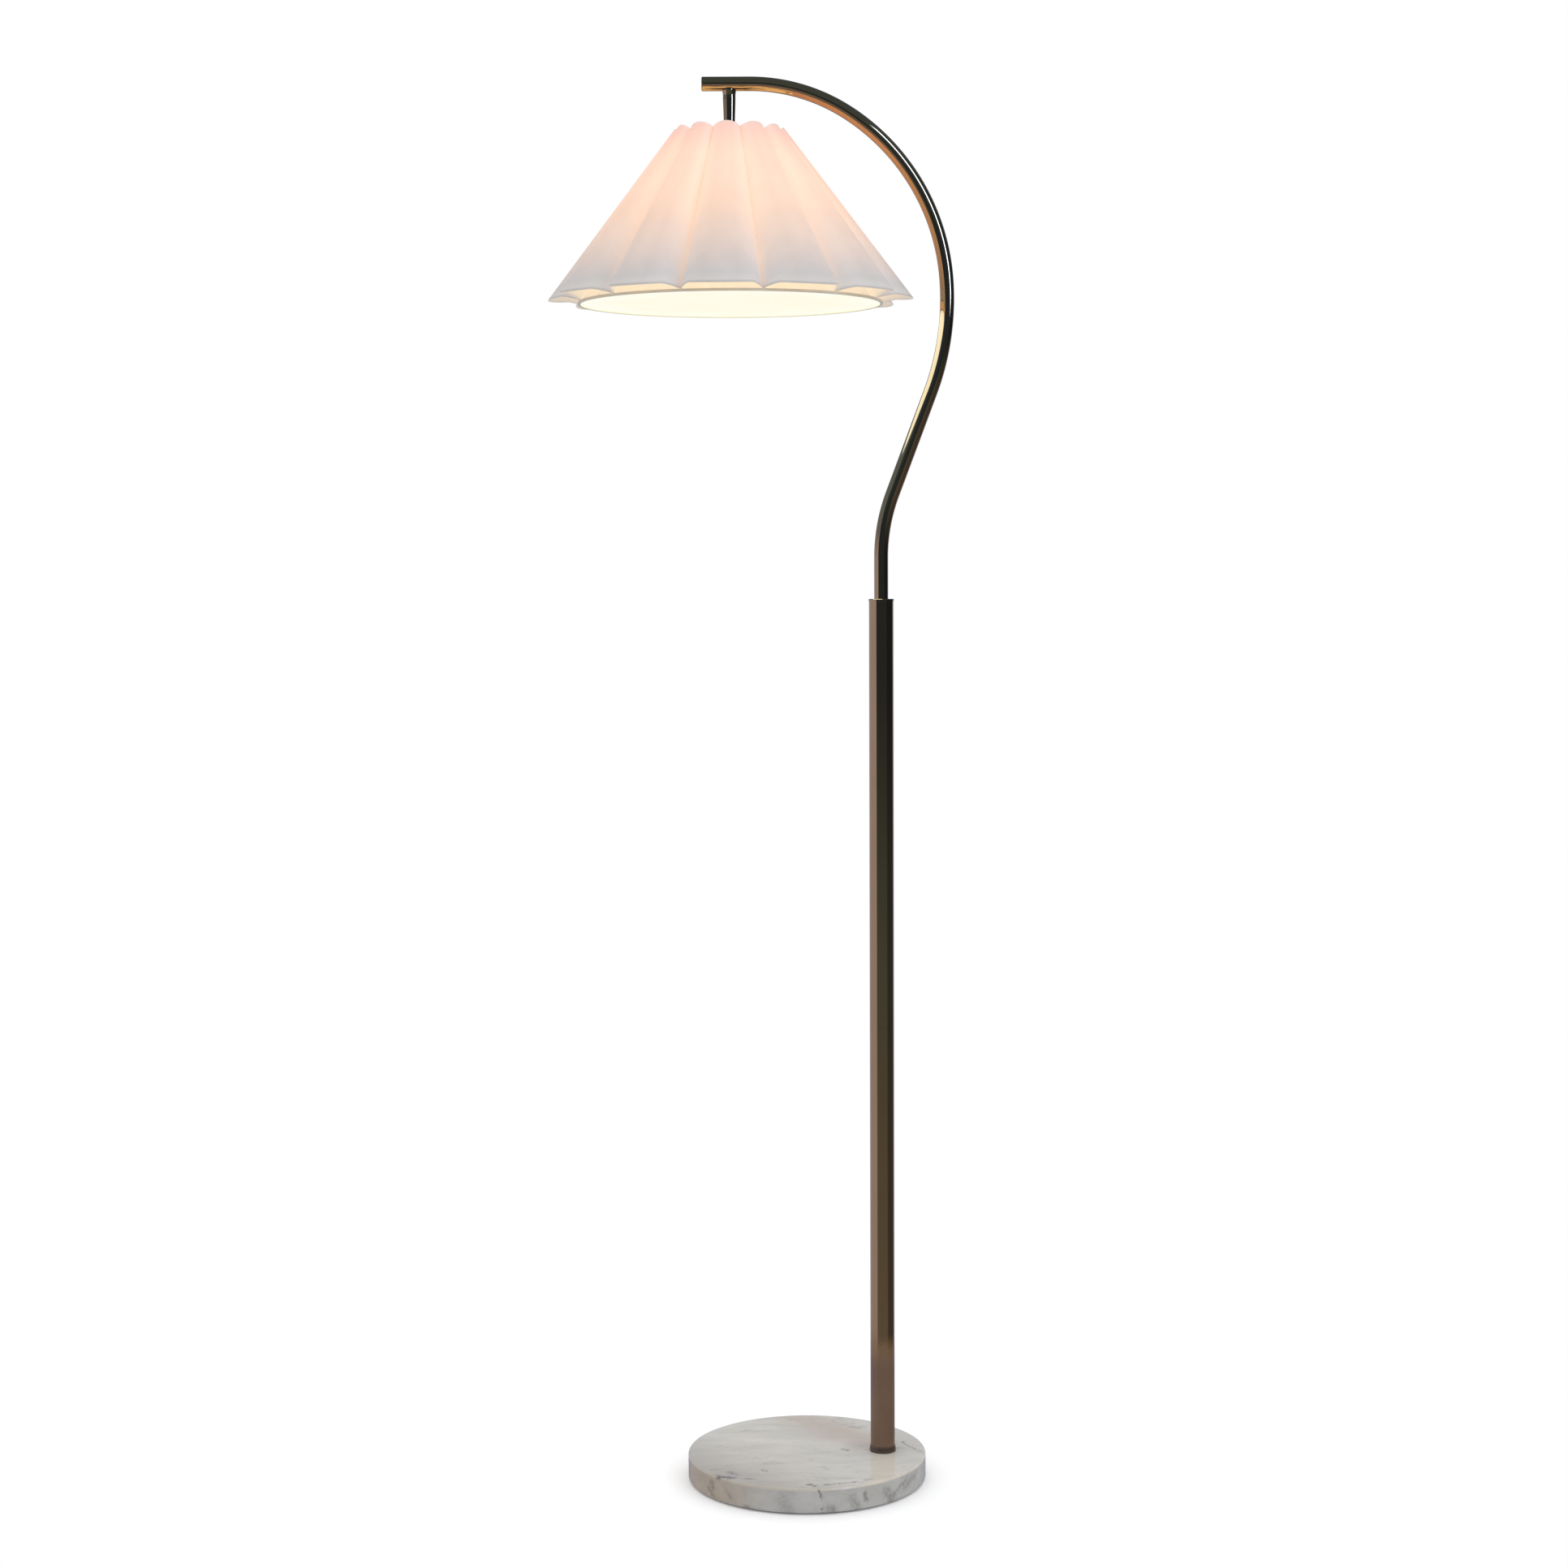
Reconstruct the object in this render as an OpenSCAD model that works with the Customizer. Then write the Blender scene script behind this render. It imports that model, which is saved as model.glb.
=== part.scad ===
// Arc floor lamp: marble disc base, two-piece pole, swivelling bent arm and a pleated shade on a drop rod.
// Millimetres, +Z up. The origin is the centre of the base's underside, on the floor.
// The lamp stands in the XZ plane: the pole is on the +X side of the base and the arm reaches back over it.

/* [Overall] */
// Height from the floor to the top of the arm
lamp_h = 1600; // [1540:5:1660]

/* [Base] */
// Diameter of the marble disc
base_d = 275; // [260:5:320]
// Height of the marble's top face above the floor
base_h = 30; // [28:1:36]
// Thickness of the foam pad under the marble
pad_t = 1.5; // [1:0.5:2]
// Distance from the disc's centre to the pole's axis
pole_x = 88; // [70:1:95]
// Radius that eases the marble's edges
marble_ease = 2; // [1:0.5:4]

/* [Pole] */
// Outer diameter of the pole tubes
pole_d = 28; // [28:0.5:32]
// Wall thickness of the pole tubes
pole_wall = 1.2; // [1:0.1:1.4]
// Height of the top of the pole's cap
pole_top = 1016.5; // [980:0.5:1030]
// Height of the seam between the two pole tubes
seam_z = 527; // [400:1:600]
// Height of the collar at the pole's foot
collar_h = 7; // [6:0.5:9]

/* [Arm] */
// Outer diameter of the arm tube
arm_d = 16; // [16:0.5:17]
// Wall thickness of the arm tube
arm_wall = 1.5; // [1.2:0.1:1.8]
// Depth of the arm's straight end inside the pole
arm_plug = 116; // [100:1:140]
// Radius of the first bend, away from the shade
lean_r = 203; // [180:1:240]
// Length of the leaning straight
lean_len = 122; // [100:1:140]
// Radius of the outer part of the arc
outer_r = 295; // [280:1:320]
// Radius of the arc's crown
crown_r = 241; // [230:1:250]
// Radius where the arc runs out level
end_r = 204; // [190:1:220]
// Distance from the pole's axis to the arm's tip
arm_reach = 200; // [190:1:215]

/* [Drop rod] */
// Distance from the pole's axis to the drop rod
drop_reach = 169; // [165:1:175]
// Height of the joint between the coupling and the drop rod
joint_z = 1575.2; // [1572:0.2:1577]
// Diameter of the drop rod at its top
rod_top_d = 14.2; // [14:0.1:15]
// Diameter of the drop rod where it meets the lampholder
rod_low_d = 12.6; // [12.4:0.1:13]

/* [Shade] */
// Number of pleats
pleats = 12; // [10:1:14]
// Turn of the first valley from the front
first_valley = 12.9; // [0:0.1:29.9]
// Radius of the pleats' shoulders at the bottom edge
bottom_crest_r = 206; // [196:1:210]
// Radius of the valleys at the bottom edge
bottom_valley_r = 169.5; // [169.5:0.5:172]
// Radius of the pleats' shoulders at the top edge
top_crest_r = 61; // [60.5:0.5:64]
// Radius of the valleys at the top edge
top_valley_r = 56.8; // [56.8:0.2:58]
// Height of the pleats' bottom edge
shade_low_z = 1355; // [1353:0.5:1356]
// Height of the pleats' top edge
shade_top_z = 1543; // [1538:0.5:1545]
// Thickness of the laminated fabric
fabric_t = 1; // [0.8:0.1:1.2]

/* [Hidden] */

$fn = 96;
eps = 0.01;
far = 400;
// Clearance on a diameter's side between two parts that turn, and between two that are fitted together
run_gap = 0.05;
fit_gap = 0.1;

base_r = base_d / 2;
pole_r = pole_d / 2;
pole_in_r = pole_r - pole_wall;
plug_r = pole_in_r - fit_gap;
arm_r = arm_d / 2;
arm_in_r = arm_r - arm_wall;
cable_r = 2.2;

// Fixing under the base
stud_r = 5;
stud_bore_r = 3.5;
recess_r = 26;
recess_top = 18.5;
washer_t = 3;
nut_t = 5;
nut_af = 17;
washer_z = recess_top - washer_t;
nut_z = washer_z - nut_t;
stud_low_z = nut_z - 0.3;
stud_len = 50;
groove_w = 8.4;
groove_h = 8.2;
grommet_r = 4;
grommet_len = 12;
grommet_bore_r = 2.9;
cable_z = pad_t + fit_gap + grommet_r;
cable_bend_r = 8;
grommet_out_y = sqrt(base_r * base_r - pow(pole_x + groove_w / 2, 2)) - 1;
grommet_in_y = grommet_out_y - grommet_len;

// Bearings of the arm inside the pole
cap_flange_r = pole_r + 0.4;
cap_flange_t = 2.5;
cap_plug_len = 42;
bush_r = 10;
upper_bush_len = 38;
arm_low_z = pole_top - arm_plug;
bush_floor_t = 5;
lower_bush_len = 33;
bush_floor_r = 4;
stop_h = 8;
stop_pin_r = 1.25;
stop_lug_w = 2.4;
stop_in_r = 8.6;
stop_out_r = 11.8;
stop_z = arm_low_z + lower_bush_len + stop_h / 2;
grub_r = 2;
grub_len = 2.4;

// Centreline of the arm. The bends turn by angles whose sine and cosine are short exact decimals, so that the
// legs meet exactly: out to the lean, back to upright, on past it, over the crown and down to level.
lean = asin(0.352);
outer_turn = asin(0.07584);
crown_turn = asin(0.8);
end_turn = asin(0.5376);
crown_a = outer_turn + crown_turn;
arm_top_z = lamp_h - arm_r;
lean_end = [lean_r * (1 - cos(lean)) + lean_len * sin(lean), lean_r * sin(lean) + lean_len * cos(lean)];
outer_c = lean_end + outer_r * [-cos(lean), sin(lean)];
crown_c = outer_c + (outer_r - crown_r) * [cos(outer_turn), sin(outer_turn)];
end_c = crown_c + (crown_r - end_r) * [cos(crown_a), sin(crown_a)];
bend_z = arm_top_z - end_c[1] - end_r;
level_x = pole_x + end_c[0];
tip_t = 1.8;
arm_tip_x = pole_x - arm_reach;
drop_x = pole_x - drop_reach;
arm_legs = [
    [bend_z - arm_low_z],
    [lean_r, lean],
    [lean_len],
    [outer_r, -lean],
    [outer_r, -outer_turn],
    [crown_r, -crown_turn],
    [end_r, -end_turn]
];

// Swivel between the coupling and the drop rod
nipple_r = 4;
nipple_bore_r = 2.6;
nipple_low_z = joint_z - 13;
shoulder_t = 7.8;
rod_top_z = joint_z - 0.2;
rod_cavity_r = 5.5;
shoulder_z = rod_top_z - shoulder_t;
locknut_r = 5.2;
locknut_t = 3.6;
rod_low_z = 1531;
rod_taper_z = 1550;

// Lampholder and bulb, downward from the rod
holder_r = 19;
holder_top_z = rod_low_z;
skirt_top_z = 1512;
skirt_low_z = 1468;
skirt_r = 19.6;
skirt_bore_r = 14.2;
core_t = 8;
core_r = 16.8;
hub_z = 1490;
hub_t = 1.5;
hub_r = 31;
hub_bore_r = 20.2;
ring_nut_r = 23.5;
ring_nut_t = 6;
ring_nut_bore_r = 19.9;
spider_arms = 3;
spider_wire_r = 2;
wire_r = 1.5;
top_ring_r = 54.3;
top_ring_z = 1536;
bottom_ring_r = 171.4;
bottom_ring_z = 1347.3;
bottom_ring_h = 2.8;
bottom_ring_wall = 1.5;
lip_w = 1.5;
lip_t = 1;
diffuser_t = 1.6;
bulb_cap_top_z = 1490;
bulb_cap_low_z = 1467;
bulb_cap_r = 12.7;
bulb_thread_r = 13.05;
bulb_tip_z = 1494.8;
bulb_r = 30;
bulb_c_z = 1417;
bulb_seat_z = 1432;

// Shape of one pleat: half its angle, and at each end how fully it bulges between its valleys, how far the
// edge drops in a valley and how sharply it does so; then the samples across it
half_pleat = 180 / pleats;
low_curve = 0.85;
low_drop = 5;
low_point = 2.5;
top_curve = 0.75;
top_drop = 6.5;
top_point = 1;
half_steps = [0.2, 0.4, 0.57, 0.72, 0.85, 0.94, 0.985];
pleat_steps = concat([-1], [for (i = [len(half_steps) - 1 : -1 : 0]) -half_steps[i]], [0], half_steps);

module at_pole() {
    translate([pole_x, 0, 0]) children();
}

module at_drop() {
    translate([drop_x, 0, 0]) children();
}

// A tube or, with no inner radius, a rod standing between two heights
module column(z0, z1, ro, ri = 0) {
    translate([0, 0, z0]) difference() {
        cylinder(r = ro, h = z1 - z0);
        if (ri > 0) translate([0, 0, -1]) cylinder(r = ri, h = z1 - z0 + 2);
    }
}

// A disc with eased edges
module eased_disc(r, h, e) {
    rotate_extrude($fn = 180) {
        square([r - e, h]);
        translate([0, e]) square([r, h - 2 * e]);
        for (z = [e, h - e]) translate([r - e, z]) circle(e, $fn = 48);
    }
}

// A ring of round wire lying flat
module wire_ring(r, wr, z) {
    translate([0, 0, z]) rotate_extrude($fn = 180) translate([r, 0]) circle(wr, $fn = 32);
}

// The section of a tube or rod
module section(ro, ri) {
    difference() {
        circle(ro, $fn = 64);
        if (ri > 0) circle(ri, $fn = 64);
    }
}

// A leg of a bent tube is [length] for a straight or [radius, angle] for a bend; a positive angle leans to +X.
// Its children are placed at its far end, heading the way the tube heads there.
module past(leg) {
    side = len(leg) == 1 ? 0 : sign(leg[1]);
    if (side == 0) translate([0, 0, leg[0]]) children();
    else translate([side * leg[0], 0, 0]) rotate([0, leg[1], 0]) translate([-side * leg[0], 0, 0]) children();
}

// A bend is swept a little too far and cut square at its true end, so the legs meet exactly
module leg_body(leg, ro, ri) {
    spare = 1;
    if (len(leg) == 1) linear_extrude(leg[0]) section(ro, ri);
    else difference() {
        rotate([0, 0, leg[1] > 0 ? 180 : 0])
            translate([-leg[0], 0, 0])
                rotate([90, 0, 0])
                    rotate_extrude(angle = abs(leg[1]) + spare, $fn = 120)
                        translate([leg[0], 0]) section(ro, ri);
        past(leg) translate([-2 * ro, -2 * ro, 0]) cube([4 * ro, 4 * ro, 2 * leg[0] * sin(spare)]);
    }
}

module bent_tube(legs, ro, ri, first = 0) {
    leg_body(legs[first], ro, ri);
    if (first + 1 < len(legs)) past(legs[first]) bent_tube(legs, ro, ri, first + 1);
}

// ---- base ----

module marble_base() {
    color("gainsboro") difference() {
        translate([0, 0, pad_t]) eased_disc(base_r, base_h - pad_t, marble_ease);
        at_pole() {
            column(-1, base_h + 1, stud_r + 1.25);
            column(-1, recess_top, recess_r);
        }
        cable_groove(pad_t + groove_h);
    }
}

module cable_groove(top_z) {
    translate([pole_x - groove_w / 2, 0, -1]) cube([groove_w, base_r, top_z + 1]);
}

module floor_pad() {
    color("dimgray") difference() {
        cylinder(r = base_r - 5, h = pad_t);
        at_pole() column(-1, pad_t + 1, recess_r);
        cable_groove(pad_t + 1);
    }
}

module cable_grommet() {
    color("black") at_pole() translate([0, grommet_in_y, cable_z]) rotate([-90, 0, 0])
        difference() {
            cylinder(r = grommet_r, h = grommet_len);
            translate([0, 0, -1]) cylinder(r = grommet_bore_r, h = grommet_len + 2);
        }
}

module base_stud() {
    color("silver") at_pole() column(stud_low_z, stud_low_z + stud_len, stud_r, stud_bore_r);
}

module base_washer() {
    color("silver") at_pole() column(washer_z, recess_top, recess_r - 2, stud_r + fit_gap);
}

module base_nut() {
    color("silver") at_pole() difference() {
        translate([0, 0, nut_z]) cylinder(d = nut_af / cos(30), h = nut_t, $fn = 6);
        column(nut_z - 1, washer_z + 1, stud_r + fit_gap);
    }
}

// ---- pole ----

module foot_plug() {
    color("silver") at_pole() column(base_h, base_h + 32, plug_r, stud_r + fit_gap);
}

module foot_collar() {
    in_r = pole_r + fit_gap;
    color("#4a4038") at_pole() rotate_extrude() polygon([
        [in_r, base_h],
        [pole_r + 1, base_h],
        [pole_r + 1.2, base_h + 0.5],
        [pole_r + 1.2, base_h + 3],
        [pole_r + 0.4, base_h + collar_h],
        [in_r, base_h + collar_h]
    ]);
}

module lower_pole() {
    color("#4a4038") at_pole() column(base_h, seam_z - 0.4, pole_r, pole_in_r);
}

module upper_pole() {
    color("#4a4038") at_pole() difference() {
        column(seam_z + 0.4, pole_top - cap_flange_t, pole_r, pole_in_r);
        grub_holes();
    }
}

// A sleeve inside both tubes, with a thin band that shows as the seam
module pole_joiner() {
    sleeve_len = 80;
    color("#4a4038") at_pole() difference() {
        union() {
            column(seam_z - sleeve_len / 2, seam_z + sleeve_len / 2, plug_r);
            column(seam_z - 0.4, seam_z + 0.4, pole_r - 0.3);
        }
        column(seam_z - sleeve_len, seam_z + sleeve_len, plug_r - 2.2);
    }
}

// The heights of the two grub screws at the back of the pole, which fix the cap and the lower bush
function grub_heights() = [pole_top - cap_plug_len / 2, arm_low_z - bush_floor_t / 2 + 4];

module grub_holes() {
    for (z = grub_heights())
        translate([0, plug_r - 2, z]) rotate([-90, 0, 0]) cylinder(r = grub_r + fit_gap, h = 5, $fn = 32);
}

module pole_grub_screws() {
    color("dimgray") at_pole() for (z = grub_heights())
        translate([0, pole_r - grub_len - 0.3, z]) rotate([-90, 0, 0]) difference() {
            cylinder(r = grub_r, h = grub_len, $fn = 32);
            translate([0, 0, grub_len - 1.2]) cylinder(r = 1.15, h = 2, $fn = 6);
        }
}

module pole_cap() {
    color("#4a4038") at_pole() difference() {
        union() {
            column(pole_top - cap_plug_len, pole_top - cap_flange_t, plug_r);
            column(pole_top - cap_flange_t, pole_top - 0.5, cap_flange_r);
            translate([0, 0, pole_top - 0.5]) cylinder(r1 = cap_flange_r, r2 = cap_flange_r - 0.5, h = 0.5);
        }
        column(pole_top - cap_plug_len - 1, pole_top - cap_flange_t, bush_r + run_gap);
        column(pole_top - cap_flange_t - 1, pole_top + 1, arm_r + 0.4);
        grub_holes();
    }
}

module arm_upper_bush() {
    bush_top = pole_top - cap_flange_t - fit_gap;
    color("white") at_pole() column(bush_top - upper_bush_len, bush_top, bush_r, arm_r + run_gap);
}

// A cup that carries the arm's lower end, with the lug that ends the arm's turn
module arm_lower_bush() {
    cup_top = arm_low_z + lower_bush_len;
    color("white") at_pole() {
        difference() {
            column(arm_low_z - bush_floor_t - run_gap, cup_top, plug_r, bush_floor_r);
            column(arm_low_z - run_gap, cup_top + 1, arm_r + run_gap);
            grub_holes();
        }
        intersection() {
            column(cup_top - eps, cup_top + stop_h, plug_r, stop_in_r);
            translate([-plug_r, -stop_lug_w / 2, cup_top - 1]) cube([plug_r, stop_lug_w, stop_h + 2]);
        }
    }
}

// The lamp's own lead: in at the back of the base, up the stud and the pole
module pole_cable() {
    color("black") at_pole() {
        translate([0, cable_bend_r, cable_z]) rotate([-90, 0, 0])
            cylinder(r = cable_r, h = grommet_in_y - cable_bend_r - 6, $fn = 32);
        translate([0, cable_bend_r, cable_z + cable_bend_r]) rotate([0, -90, 0]) rotate([0, 0, 180])
            rotate_extrude(angle = 90, $fn = 96) translate([cable_bend_r, 0]) circle(cable_r, $fn = 32);
        translate([0, 0, cable_z + cable_bend_r])
            cylinder(r = cable_r, h = arm_low_z - cable_z - cable_bend_r - 0.3, $fn = 32);
    }
}

// ---- arm ----

module arm_tube() {
    level = [level_x - arm_tip_x - tip_t];
    color("#3a3430") difference() {
        at_pole() translate([0, 0, arm_low_z]) bent_tube(concat(arm_legs, [level]), arm_r, arm_in_r);
        at_drop() column(arm_top_z - arm_r - 1, arm_top_z - arm_in_r + 2, nipple_bore_r + 0.4);
        at_pole() translate([0, 0, stop_z]) rotate([0, 90, 0]) cylinder(r = stop_pin_r + run_gap, h = arm_r + 1);
    }
}

module arm_end_cap() {
    plug_len = 9;
    color("#3a3430") translate([arm_tip_x + tip_t, 0, arm_top_z]) {
        rotate([0, 90, 0]) cylinder(r = arm_in_r - fit_gap, h = plug_len);
        rotate([0, -90, 0]) eased_disc_top(arm_r, tip_t, 1.4);
    }
}

// A disc with only its far edge eased
module eased_disc_top(r, h, e) {
    rotate_extrude() {
        square([r - e, h]);
        square([r, h - e]);
        translate([r - e, h - e]) intersection() {
            circle(e, $fn = 48);
            square(e);
        }
    }
}

module arm_stop_pin() {
    color("silver") at_pole() translate([arm_in_r + 0.2, 0, stop_z]) rotate([0, 90, 0])
        cylinder(r = stop_pin_r, h = stop_out_r - arm_in_r - 0.2, $fn = 48);
}

// A short socket brazed under the arm: it flares below the tube, and its neck is cut to the tube
module drop_coupling() {
    flare_h = 5;
    flare_top_z = arm_top_z - arm_r + 0.6;
    color("#3a3430") difference() {
        at_drop() union() {
            column(joint_z, flare_top_z - flare_h, rod_top_d / 2);
            translate([0, 0, flare_top_z - flare_h])
                cylinder(r1 = rod_top_d / 2, r2 = arm_r - 0.1, h = flare_h);
            column(flare_top_z - eps, arm_top_z - 2, rod_top_d / 2 - 1);
        }
        translate([drop_x - far / 2, 0, arm_top_z]) rotate([0, 90, 0])
            cylinder(r = arm_r + run_gap, h = far);
        at_drop() column(joint_z - 1, arm_top_z, nipple_r + fit_gap);
    }
}

module swivel_nipple() {
    color("silver") at_drop() column(nipple_low_z, arm_top_z - arm_r - 0.4, nipple_r, nipple_bore_r);
}

module swivel_locknut() {
    color("silver") at_drop() column(shoulder_z - locknut_t - 0.3, shoulder_z - 0.3, locknut_r, nipple_r + fit_gap);
}

// The lead inside the arm, turning down into the nipple
module arm_cable() {
    turn_r = 7;
    level = [level_x - drop_x - turn_r];
    down = [arm_top_z - turn_r - nipple_low_z];
    color("black") at_pole() translate([0, 0, arm_low_z])
        bent_tube(concat(arm_legs, [level, [turn_r, -90], down]), cable_r, 0);
}

// ---- shade and lampholder ----

module drop_rod() {
    color("#3a3430") at_drop() difference() {
        union() {
            translate([0, 0, rod_taper_z])
                cylinder(r1 = rod_low_d / 2, r2 = rod_top_d / 2, h = rod_top_z - rod_taper_z);
            column(rod_low_z, rod_taper_z, rod_low_d / 2);
        }
        column(rod_low_z - 1, shoulder_z, rod_cavity_r);
        column(shoulder_z - 1, rod_top_z + 1, nipple_r + run_gap);
    }
}

module drop_cable() {
    color("black") at_drop() column(skirt_top_z + core_t, nipple_low_z - 0.3, cable_r);
}

module holder_cap() {
    spigot_r = rod_cavity_r - fit_gap;
    spigot_len = 10;
    wall = 2;
    color("#222222") at_drop() rotate_extrude() polygon([
        [cable_r + 0.8, holder_top_z + spigot_len],
        [spigot_r, holder_top_z + spigot_len],
        [spigot_r, holder_top_z],
        [10, holder_top_z],
        [holder_r, holder_top_z - 9],
        [holder_r, skirt_top_z],
        [holder_r - wall, skirt_top_z],
        [holder_r - wall, holder_top_z - 10],
        [9.2, holder_top_z - wall],
        [cable_r + 0.8, holder_top_z - wall]
    ]);
}

module holder_skirt() {
    thread_pitch = 2.5;
    color("#222222") at_drop() difference() {
        column(skirt_low_z, skirt_top_z, skirt_r, skirt_bore_r);
        for (k = [1 : 1 : 14])
            translate([0, 0, skirt_low_z + k * thread_pitch]) rotate_extrude()
                translate([skirt_r, 0]) circle(0.6, $fn = 16);
    }
}

module holder_core() {
    color("beige") at_drop() column(skirt_top_z, skirt_top_z + core_t - fit_gap, core_r);
}

module holder_contacts() {
    strip_w = 5;
    strip_t = 0.6;
    tongue_x = 9;
    color("goldenrod") at_drop() {
        translate([-tongue_x, -strip_w / 2, bulb_tip_z + 0.2])
            cube([strip_t, strip_w, skirt_top_z - bulb_tip_z - 0.2]);
        translate([-tongue_x, -strip_w / 2, bulb_tip_z + 0.2]) cube([tongue_x + 3, strip_w, strip_t]);
        translate([bulb_thread_r + 0.1, -strip_w / 2, bulb_cap_low_z + 10])
            cube([strip_t, strip_w, skirt_top_z - bulb_cap_low_z - 10]);
    }
}

module terminal_screws() {
    color("goldenrod") at_drop() for (x = [-9, 9])
        translate([x, 0, skirt_top_z + core_t]) difference() {
            cylinder(r = 2.6, h = 2, $fn = 32);
            translate([-3, -0.35, 1.2]) cube([6, 0.7, 2]);
        }
}

// The hub plate and its bent wires, which carry the shade's top ring
module spider() {
    rise_from = [hub_r - 2.5, hub_z + hub_t];
    rise_to = [top_ring_r - wire_r - spider_wire_r, top_ring_z];
    run = rise_to - rise_from;
    tilt = atan2(run[0], run[1]);
    color("whitesmoke") at_drop() {
        column(hub_z, hub_z + hub_t, hub_r, hub_bore_r);
        for (k = [0 : spider_arms - 1])
            rotate([0, 0, 60 + k * 360 / spider_arms]) {
                translate([rise_from[0], 0, rise_from[1] - 0.3]) rotate([0, tilt, 0])
                    cylinder(r = spider_wire_r, h = norm(run), $fn = 32);
            }
    }
}

module clamp_rings() {
    color("#222222") at_drop() for (z = [hub_z - ring_nut_t - fit_gap, hub_z + hub_t + fit_gap])
        difference() {
            column(z, z + ring_nut_t, ring_nut_r, ring_nut_bore_r);
            for (k = [0 : 11]) rotate([0, 0, k * 30])
                translate([ring_nut_r + 0.4, 0, z - 1]) cylinder(r = 1, h = ring_nut_t + 2, $fn = 24);
        }
}

module top_ring() {
    color("whitesmoke") at_drop() wire_ring(top_ring_r, wire_r, top_ring_z);
}

// A rolled hoop with an inward lip that carries the diffuser
module bottom_ring() {
    in_r = bottom_ring_r - bottom_ring_wall;
    color("whitesmoke") at_drop() rotate_extrude($fn = 180) translate([0, bottom_ring_z]) polygon([
        [in_r - lip_w, 0],
        [bottom_ring_r, 0],
        [bottom_ring_r, bottom_ring_h],
        [in_r, bottom_ring_h],
        [in_r, lip_t],
        [in_r - lip_w, lip_t]
    ]);
}

module diffuser() {
    seat_z = bottom_ring_z + lip_t + fit_gap;
    color("ivory") at_drop() column(seat_z, seat_z + diffuser_t, bottom_ring_r - bottom_ring_wall - 0.3);
}

// How far a pleat stands out at step s across it, from 1 in its middle to 0 in the valleys at -1 and 1
function stand_out(s, curve) = pow(max(0, 1 - s * s), curve);

// The closed outline of the shade at one end, as points [x, y, z]; drop lowers the valleys
function outline(valley_r, crest_r, curve, z, drop, point) = [
    for (k = [0 : pleats - 1]) for (s = pleat_steps)
        let (a = first_valley + (2 * k + 1 + s) * half_pleat, out = stand_out(s, curve),
            r = valley_r + (crest_r - valley_r) * out)
            [r * sin(a), -r * cos(a), z - drop * pow(1 - out, point)]
];

// The same outline moved inward by the fabric's thickness
function inner_outline(ring) = [
    for (i = [0 : len(ring) - 1])
        let (p = ring[(i + len(ring) - 1) % len(ring)], q = ring[(i + 1) % len(ring)],
            t = [q[0] - p[0], q[1] - p[1]])
            ring[i] + fabric_t * [-t[1], t[0], 0] / norm(t)
];

module pleated_shade() {
    low = outline(bottom_valley_r, bottom_crest_r, low_curve, shade_low_z, low_drop, low_point);
    top = outline(top_valley_r, top_crest_r, top_curve, shade_top_z, top_drop, top_point);
    rings = [low, top, inner_outline(top), inner_outline(low)];
    n = len(low);
    points = [for (ring = rings) each ring];
    faces = [for (r = [0 : 3]) for (i = [0 : n - 1])
        let (j = (i + 1) % n, up = (r + 1) % 4)
            each [[r * n + i, up * n + i, up * n + j], [r * n + i, up * n + j, r * n + j]]];
    color("mistyrose") at_drop() polyhedron(points, faces);
}

// ---- bulb ----

module bulb_dome() {
    wall = 1.5;
    color("ivory") at_drop() difference() {
        translate([0, 0, bulb_c_z]) sphere(bulb_r);
        translate([0, 0, bulb_c_z]) sphere(bulb_r - wall);
        column(bulb_seat_z, bulb_c_z + bulb_r + 1, bulb_r);
    }
}

module bulb_body() {
    color("white") at_drop() rotate_extrude() polygon([
        [0, bulb_seat_z],
        [26, bulb_seat_z],
        [25.5, bulb_seat_z + 6],
        [21, bulb_seat_z + 18],
        [15.5, bulb_seat_z + 29],
        [13.4, bulb_cap_low_z],
        [0, bulb_cap_low_z]
    ]);
}

module led_board() {
    color("khaki") at_drop() column(bulb_seat_z - 1.6, bulb_seat_z, 22);
}

module bulb_screw_cap() {
    color("silver") at_drop() difference() {
        union() {
            column(bulb_cap_low_z, bulb_cap_top_z, bulb_cap_r);
            for (k = [0 : 4])
                translate([0, 0, bulb_cap_low_z + 5 + k * 3.6]) rotate_extrude()
                    translate([bulb_thread_r - 0.9, 0]) circle(0.9, $fn = 24);
        }
        column(bulb_cap_low_z - 1, bulb_cap_top_z + 1, bulb_cap_r - 1);
    }
}

module bulb_insulator() {
    color("#222222") at_drop() translate([0, 0, bulb_cap_top_z])
        cylinder(r1 = bulb_cap_r - 0.4, r2 = 5.5, h = bulb_tip_z - bulb_cap_top_z - 1);
}

module bulb_contact() {
    color("silver") at_drop() column(bulb_tip_z - 1, bulb_tip_z, 4.5);
}

marble_base();
floor_pad();
cable_grommet();
base_stud();
base_washer();
base_nut();
foot_plug();
foot_collar();
lower_pole();
pole_joiner();
upper_pole();
pole_cap();
arm_upper_bush();
arm_lower_bush();
pole_grub_screws();
pole_cable();
arm_tube();
arm_end_cap();
arm_stop_pin();
drop_coupling();
swivel_nipple();
swivel_locknut();
arm_cable();
drop_rod();
holder_cap();
holder_skirt();
holder_core();
holder_contacts();
terminal_screws();
spider();
clamp_rings();
top_ring();
bottom_ring();
pleated_shade();
diffuser();
bulb_dome();
bulb_body();
bulb_screw_cap();
bulb_insulator();
bulb_contact();
led_board();
drop_cable();
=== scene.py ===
"""Looks of the arc floor lamp: materials, the creased fabric shade, camera, floor and light."""
import math

import bpy
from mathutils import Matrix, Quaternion, Vector

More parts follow.
